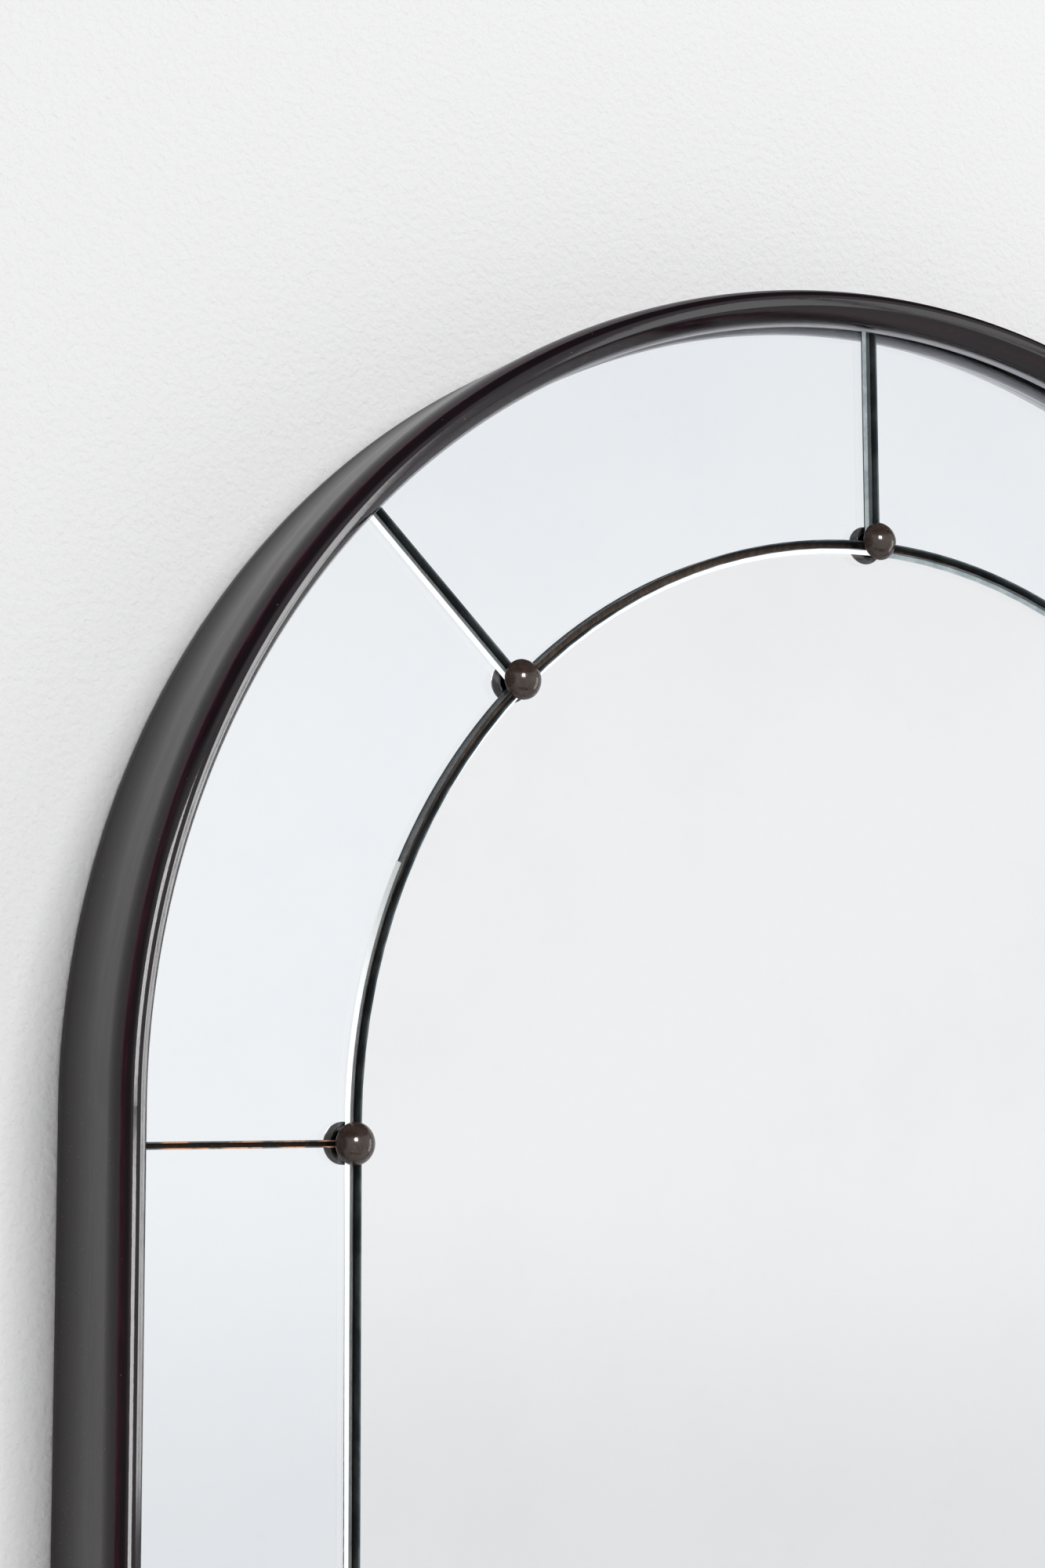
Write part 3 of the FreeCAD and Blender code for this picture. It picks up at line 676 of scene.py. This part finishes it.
def zinc_finish(name, tone, roughness):
    """Zinc plating with a faint crystalline mottle and handling marks."""
    made, tree, bsdf = material(name, tone, roughness, 1.0)
    place = object_place(tree)
    cells = put(tree, "ShaderNodeTexVoronoi", feature="F1")
    join(tree, place, cells.inputs["Vector"])
    cells.inputs["Scale"].default_value = 700.0
    parts = put(tree, "ShaderNodeSeparateColor")
    join(tree, cells.outputs["Color"], parts.inputs[0])
    dull = tuple(0.72 * c for c in tone)
    warm = (tone[0], tone[1] * 0.97, tone[2] * 0.86)
    mottle = blend_colour(tree, parts.outputs[0], dull, tone)
    stain = noise(tree, place, 120.0, 4.0, 0.6)
    join(tree, blend_colour(tree, ramp(tree, stain, 0.5, 0.75), mottle, warm), bsdf.inputs["Base Color"])
    join(tree, ramp(tree, stain, 0.3, 0.7, roughness - 0.08, roughness + 0.12), bsdf.inputs["Roughness"])
    return made


def soft_finish(name, colour, pale, scale):
    """Matt rubber, felt or foam with a fine pore."""
    made, tree, bsdf = material(name, colour, 0.85)
    place = object_place(tree)
    pore = noise(tree, place, scale, 4.0, 0.65)
    join(tree, blend_colour(tree, ramp(tree, pore, 0.4, 0.75), colour, pale), bsdf.inputs["Base Color"])
    bumped(tree, pore, bsdf, 0.4, 0.0004)
    return made


LACQUER = lacquer_finish()
GLASS = glass_finish()
GROUND = ground_edge_finish()
# Painted glow and painted shade for the margin strips of the silvering
GLOW_MARGIN = glow_margin_finish()
PAINTED_SHADE_MARGIN = painted_shade_margin_finish()
BORDER_SILVER = silver_finish("border_silvering", (0.915, 0.935, 0.955), (0.885, 0.91, 0.935))
CENTRE_SILVER = silver_finish("centre_silvering", (0.91, 0.913, 0.918), (0.885, 0.888, 0.893))
BRONZE = bronze_finish()
BOARD = board_finish()
BATTEN_UP = softwood_finish("upright_softwood", (0.62, 0.44, 0.27), (0.42, 0.27, 0.15), (1.0, 1.0, 0.06))
BATTEN_LEVEL = softwood_finish("level_softwood", (0.62, 0.44, 0.27), (0.42, 0.27, 0.15), (0.06, 1.0, 1.0))
DOWEL = softwood_finish("hardwood_dowel", (0.66, 0.50, 0.33), (0.50, 0.36, 0.22), (1.0, 1.0, 0.2))
ZINC = zinc_finish("zinc_fastener", (0.66, 0.65, 0.61), 0.32)
HANGER = zinc_finish("zinc_hanger", (0.60, 0.60, 0.585), 0.26)
RUBBER = soft_finish("washer_rubber", (0.012, 0.012, 0.012), (0.022, 0.022, 0.021), 700.0)
GASKET = soft_finish("gasket_rubber", (0.035, 0.024, 0.020), (0.055, 0.040, 0.034), 600.0)
FOAM = soft_finish("pad_foam", (0.66, 0.66, 0.63), (0.78, 0.78, 0.76), 500.0)


# Frame

def mitred(obj, at_foot):
    """Cut the ends of a straight member at 45 degrees."""
    for vert in obj.data.vertices:
        x, z = vert.co.x, vert.co.z
        if at_foot:
            if z < FOOT + ON_EDGE:
                vert.co.z = FOOT + OUTER - abs(x)
        elif abs(x) > OUTER - ON_EDGE:
            vert.co.x = math.copysign(OUTER - (z - FOOT), x)
    return obj


def build_frame():
    """Two bent quarters, two stiles and the bottom rail, each swept from the section."""
    tree = make_rim_tree()
    start = bpy.data.meshes.new("rim_start")
    quarter = {"Straight": False, "Radius": OUTER, "Steps": 121, "Material": LACQUER}
    straight = {"Straight": True, "Steps": 2, "Material": LACQUER}
    members = []

    def member(name, profile, shared, **path):
        curve = profile_curve("rim_profile_" + name, profile)
        given = {label.replace("_", " "): value for label, value in path.items()}
        obj = baked(name, tree, start, dict(shared, Profile=curve, **given))
        bpy.data.objects.remove(curve)
        members.append((obj, "frame_" + name))
        return obj

    member("arch_right", [(-d, u) for u, d in SECTION], quarter, Start_Angle=0.0, Sweep_Angle=math.pi / 2)
    member("arch_left", [(d, u) for u, d in SECTION], quarter, Start_Angle=math.pi, Sweep_Angle=-math.pi / 2)
    for name, side in (("stile_right", 1), ("stile_left", -1)):
        stile = member(name, [(-side * u, -d) for u, d in SECTION], straight,
                       Line_Start=(side * OUTER, 0, FOOT), Line_End=(side * OUTER, 0, 0))
        mitred(stile, True)
    rail = member("bottom_rail", [(d, -u) for u, d in SECTION], straight,
                  Line_Start=(-OUTER, 0, FOOT), Line_End=(OUTER, 0, FOOT))
    mitred(rail, False)
    for obj, node in members:
        placed(squared(obj, 50.0), "frame_lacquer", node)


# Glass

def painted_glow_at(node, centre):
    """Whether a pane's margin strip gets the painted glow at this place."""
    x, z = abs(centre.x), centre.z
    out = math.hypot(x, z + GLASS_DROP)
    along_gap = (out if z > LEVEL_JOINT else x) < GAP_R + MARGIN_REACH
    turn = math.radians(45) - math.atan2(z + GLASS_DROP, x)
    on_radial = abs(out * math.sin(turn)) < JOINT_REACH
    if abs(z - LEVEL_JOINT) < LEVEL_REACH and x > GAP_R + LEVEL_REACH:
        return False
    if node == "centre_pane":
        return z > GLOW_TURN and centre.x < 0
    if "side" in node:
        return along_gap
    if "shoulder" in node:
        return on_radial or (along_gap and z < GLOW_TURN)
    if "crown" in node:
        return False
    return z > GAP_FOOT - MARGIN_REACH


def painted_shade_at(node, centre):
    """Whether a pane's margin strip gets painted shade at this place."""
    if node == "centre_pane":
        return centre.z > GLOW_TURN and centre.x > 0
    return "crown" in node and abs(centre.x) < MARGIN_REACH


def build_pane(node, silver):
    """Pane as glass in front, ground at its edges and silvered behind."""
    mesh = bmesh.new()
    mesh.from_mesh(NODES[node].data)
    bmesh.ops.remove_doubles(mesh, verts=mesh.verts, dist=MERGE)
    back = [face for face in mesh.faces if face.normal.y > FACING]
    back = bmesh.ops.dissolve_faces(mesh, faces=back)["region"]
    bmesh.ops.inset_region(mesh, faces=back, thickness=MARGIN_W, use_even_offset=True, use_boundary=True)
    kept = set(back)
    front_slot, edge_slot, silver_slot, glow_slot, painted_shade_slot = range(5)
    for face in mesh.faces:
        face.smooth = False
        if face.normal.y > FACING:
            middle = face.calc_center_median()
            face.material_index = silver_slot
            # Margin strips get a painted glow or painted shade, chosen by place
            if face not in kept and painted_glow_at(node, middle):
                face.material_index = glow_slot
            elif face not in kept and painted_shade_at(node, middle):
                face.material_index = painted_shade_slot
        elif face.normal.y < -FACING:
            face.material_index = front_slot
        else:
            face.material_index = edge_slot
    for vert in mesh.verts:
        vert.co.y = min(vert.co.y, -GLASS_BACK - SILVER_LIFT)
    data = bpy.data.meshes.new("pane_" + node)
    mesh.to_mesh(data)
    mesh.free()
    for finish in (GLASS, GROUND, silver, GLOW_MARGIN, PAINTED_SHADE_MARGIN):
        data.materials.append(finish)
    obj = link(bpy.data.objects.new("glass_" + node, data))
    placed(obj, "mirror_glass", node)


def build_glass():
    for node in NODES:
        if node.startswith("border_pane"):
            build_pane(node, BORDER_SILVER)
        elif node == "centre_pane":
            build_pane(node, CENTRE_SILVER)


# Studs

def turned(name, outline, steps):
    """Lathe an outline of (radius, height) points about the Y axis, height to the front."""
    mesh = bmesh.new()
    verts = [mesh.verts.new((r, -h, 0)) for r, h in outline]
    edges = [mesh.edges.new(pair) for pair in zip(verts, verts[1:])]
    bmesh.ops.spin(mesh, geom=verts + edges, cent=(0, 0, 0), axis=(0, 1, 0),
                   angle=2 * math.pi, steps=steps)
    data = bpy.data.meshes.new(name)
    bmesh.ops.remove_doubles(mesh, verts=mesh.verts, dist=MERGE)
    mesh.to_mesh(data)
    mesh.free()
    return link(bpy.data.objects.new(name, data))


def dome_outline():
    """Dome with an eased lower edge, a flat underside and its shank."""
    cap = STUD_H - STUD_EDGE
    ball = (STUD_R ** 2 + cap ** 2) / (2 * cap)
    reach = math.asin(STUD_R / ball)
    base = GLASS_FRONT + WASHER_T
    points = []
    steps = 24
    for i in range(steps + 1):
        angle = reach * i / steps
        points.append((ball * math.sin(angle), base + STUD_H - ball + ball * math.cos(angle)))
    points[-1] = (STUD_R, base + STUD_EDGE)
    round_off = 0.3 * STUD_EASE
    points += [(STUD_R, base + STUD_EASE), (STUD_R - round_off, base + round_off), (STUD_R - STUD_EASE, base)]
    points += [(SHANK_R, base), (SHANK_R, SHANK_BACK), (0.0, SHANK_BACK)]
    return points


def stud_places():
    """Places (x, z) of the studs: three on the arch, two at the level joints and two at the foot."""
    radius = GAP_R + STUD_OUT
    places = []
    for degrees in (45, 90, 135):
        angle = math.radians(degrees)
        places.append((radius * math.cos(angle), radius * math.sin(angle) - GLASS_DROP))
    for side in (1, -1):
        places += [(side * radius, LEVEL_JOINT), (side * radius, GAP_FOOT - STUD_OUT)]
    return places


def build_studs():
    stud = turned("dome_pattern", dome_outline(), 64)
    squared(stud, 40.0)
    points = bpy.data.meshes.new("stud_places")
    points.from_pydata([(x, 0, z) for x, z in stud_places()], [], [])
    obj = baked("dome_studs", make_places_tree(), points, {"Piece": stud, "Material": BRONZE})
    bpy.data.objects.remove(stud)
    squared(obj, 40.0)
    fixings = ("stud_nuts", "stud_plate_washers", "stud_soft_washers")
    nodes = [name for name in NODES if name.startswith("stud_") and name not in fixings]
    placed(obj, "stud_bronze", *nodes)


# Pieces that keep their CAD form

def paint_nodes():
    finishes = {
        "backing_board": BOARD, "batten_screws": ZINC, "hanger_screws": ZINC, "stud_nuts": ZINC,
        "stud_plate_washers": ZINC, "stud_soft_washers": RUBBER, "glazing_gasket": GASKET,
        "mirror_pads": FOAM, "joint_dowels": DOWEL, "mitre_dowels": DOWEL, "batten_bottom": BATTEN_LEVEL,
        "batten_arch_left": BATTEN_LEVEL, "batten_arch_right": BATTEN_LEVEL,
        "batten_side_left": BATTEN_UP, "batten_side_right": BATTEN_UP,
        "hanger_ring_left": HANGER, "hanger_ring_right": HANGER,
        "hanger_strap_left": HANGER, "hanger_strap_right": HANGER,
    }
    for node, finish in finishes.items():
        data = NODES[node].data
        data.materials.clear()
        data.materials.append(finish)


# Backdrop, light and camera

def flat_sheet(name, corners):
    data = bpy.data.meshes.new(name)
    data.from_pydata(corners, [], [tuple(range(len(corners)))])
    obj = link(bpy.data.objects.new(name, data))
    return obj


def backdrop_finish():
    """Pale paint with a fine stipple, clear from behind and to shadow and diffuse rays."""
    made, tree, bsdf = material("pale_wall", (0.885, 0.885, 0.888), 0.9)
    out = [node for node in tree.nodes if node.type == "OUTPUT_MATERIAL"][0]
    path = put(tree, "ShaderNodeLightPath")
    face = put(tree, "ShaderNodeNewGeometry")
    away = calc(tree, "MAXIMUM", face.outputs["Backfacing"], path.outputs["Is Shadow Ray"])
    away = calc(tree, "MAXIMUM", away, path.outputs["Is Diffuse Ray"])
    clear_part = put(tree, "ShaderNodeBsdfTransparent")
    mix = put(tree, "ShaderNodeMixShader")
    join(tree, away, mix.inputs[0])
    join(tree, bsdf.outputs[0], mix.inputs[1])
    join(tree, clear_part.outputs[0], mix.inputs[2])
    join(tree, mix.outputs[0], out.inputs["Surface"])
    stipple = noise(tree, object_place(tree), 280.0, 4.0, 0.6)
    bumped(tree, stipple, bsdf, 0.9, 0.0014)
    return made


def build_backdrop():
    """Upright sheet behind the mirror and a floor under it."""
    side, top = 4.0, 3.0
    upright = flat_sheet("wall", [(-side, BACKDROP_Y, FLOOR_Z), (side, BACKDROP_Y, FLOOR_Z),
                                  (side, BACKDROP_Y, top), (-side, BACKDROP_Y, top)])
    upright.data.materials.append(backdrop_finish())
    side, near, far = 2.5, -1.0, 1.6
    floor = flat_sheet("floor", [(-side, near, FLOOR_Z), (side, near, FLOOR_Z),
                                 (side, far, FLOOR_Z), (-side, far, FLOOR_Z)])
    floor.data.materials.append(material("pale_floor", (0.90, 0.90, 0.90), 0.7)[0])


def build_surroundings():
    """World: even soft light, and for mirror and lacquer a pale open side with dim above, below and left."""
    world = bpy.data.worlds.new("plain_room")
    bpy.context.scene.world = world
    world.use_nodes = True
    tree = world.node_tree
    clear(tree)
    out = put(tree, "ShaderNodeOutputWorld")
    back = put(tree, "ShaderNodeBackground")
    join(tree, back.outputs[0], out.inputs["Surface"])
    parts = put(tree, "ShaderNodeSeparateXYZ")
    join(tree, put(tree, "ShaderNodeTexCoord").outputs["Generated"], parts.inputs[0])
    rightwards, upwards = parts.outputs["X"], parts.outputs["Z"]
    high = ramp(tree, upwards, 0.42, 0.62)
    low = ramp(tree, upwards, -0.62, -0.80)
    left = ramp(tree, rightwards, -0.70, -0.88)
    faint = calc(tree, "MAXIMUM", ramp(tree, upwards, -0.02, -0.16), ramp(tree, upwards, 0.10, 0.28, 0.0, 0.5))
    mirrored = blend_colour(tree, faint, (0.955, 0.957, 0.964), (0.835, 0.838, 0.848))
    mirrored = blend_colour(tree, left, mirrored, (0.17, 0.165, 0.17))
    mirrored = blend_colour(tree, calc(tree, "MAXIMUM", high, low), mirrored, (0.045, 0.042, 0.042))
    path = put(tree, "ShaderNodeLightPath")
    seen = calc(tree, "MAXIMUM", path.outputs["Is Glossy Ray"], path.outputs["Is Transmission Ray"])
    lit = blend_colour(tree, seen, (0.50, 0.501, 0.505), mirrored)
    shown = blend_colour(tree, path.outputs["Is Camera Ray"], lit, (0.90, 0.90, 0.905))
    join(tree, shown, back.inputs["Color"])
    back.inputs["Strength"].default_value = 1.0


def flat_lamp(name, centre, size, target, power):
    """Flat lamp at a place, turned to a target and hidden from the camera."""
    data = bpy.data.lights.new(name, "AREA")
    data.shape = "RECTANGLE"
    data.size, data.size_y = size
    data.energy = power
    obj = link(bpy.data.objects.new(name, data))
    way = Vector(target) - Vector(centre)
    obj.matrix_world = Matrix.Translation(centre) @ way.to_track_quat("-Z", "Y").to_matrix().to_4x4()
    obj.visible_camera = False
    return obj


def barred_lamp(name, bearing, climb, distance, size, power):
    """Four lamps around a cross bar, which only shiny surfaces show."""
    angle = math.radians(bearing)
    way = Vector((math.sin(angle), -math.cos(angle), climb)).normalized()
    across = way.cross(Vector((0, 0, 1))).normalized()
    rise = across.cross(way)
    wide, tall = size
    panes = []
    for column in (-0.5, 0.5):
        for row in (-0.5, 0.5):
            centre = LAMP_AIM + way * distance + across * column * wide + rise * row * tall
            label = "%s_%d_%d" % (name, column > 0, row > 0)
            pane = flat_lamp(label, centre, (0.9 * wide, 0.92 * tall), centre - way, power)
            pane.visible_diffuse = False
            panes.append(pane)
    return panes


def lit_only(lamps, names, label):
    """Let lamps reach only the named objects."""
    group = bpy.data.collections.new(label)
    for name in names:
        group.objects.link(bpy.data.objects[name])
    for lamp in lamps:
        lamp.light_linking.receiver_collection = group


def unmirrored(lamp):
    """Keep a lamp out of the mirror."""
    lamp.visible_glossy = False
    lamp.visible_transmission = False


def build_lights():
    """Lamps that only studs or rim show, a broad fill in front and one behind."""
    rim = ["arch_left", "arch_right", "stile_left", "stile_right", "bottom_rail"]
    studs = ["dome_studs"]
    windows = (("high_window", -6.0, 0.36, 4.0, (0.45, 0.45), 75.0, studs, "stud_sparkle"),
               ("left_window", -20.0, -0.02, 3.0, (0.72, 1.10), 36.0, rim, "rim_sparkle"),
               ("side_window", 86.0, -0.12, 3.0, (0.90, 1.10), 6.4, studs, "stud_limb"),
               ("low_window", 52.0, -0.70, 3.0, (1.20, 0.80), 5.2, rim, "rim_foot"),
               ("lip_window", 84.0, 0.02, 3.0, (0.90, 0.74), 14.8, rim, "rim_lip"))
    for name, bearing, climb, distance, size, power, pieces, label in windows:
        lit_only(barred_lamp(name, bearing, climb, distance, size, power), pieces, label)
    unmirrored(flat_lamp("front_fill", (0.35, -4.0, 1.1), (1.3, 1.3), (-0.1, 0, 0.05), 94.0))
    behind = flat_lamp("back_fill", (0.9, 3.2, 1.4), (2.2, 2.2), (0, 0, 0), 70.0)
    behind.visible_transmission = False


def build_camera():
    """Camera to the left of the mirror, level with the springing of the arch."""
    yaw, pitch, roll = (math.radians(angle) for angle in CAMERA_TURN)
    level = math.cos(pitch)
    ahead = Vector((math.sin(yaw) * level, math.cos(yaw) * level, math.sin(pitch)))
    right = Vector((math.cos(yaw), -math.sin(yaw), 0))
    up = right.cross(ahead)
    side = right * math.cos(roll) + up * math.sin(roll)
    top = up * math.cos(roll) - right * math.sin(roll)
    data = bpy.data.cameras.new("photo_camera")
    data.sensor_fit = "VERTICAL"
    data.sensor_height = SENSOR_H
    data.lens = FOCAL_PX / PICTURE_H_PX * SENSOR_H
    data.clip_start = 0.02
    obj = link(bpy.data.objects.new("photo_camera", data))
    turn = Matrix((side, top, -ahead)).transposed().to_4x4()
    obj.matrix_world = Matrix.Translation(CAMERA_AT) @ turn
    bpy.context.scene.camera = obj


bpy.context.scene.view_settings.view_transform = "Standard"
build_frame()
build_glass()
build_studs()
paint_nodes()
build_backdrop()
build_surroundings()
build_lights()
build_camera()
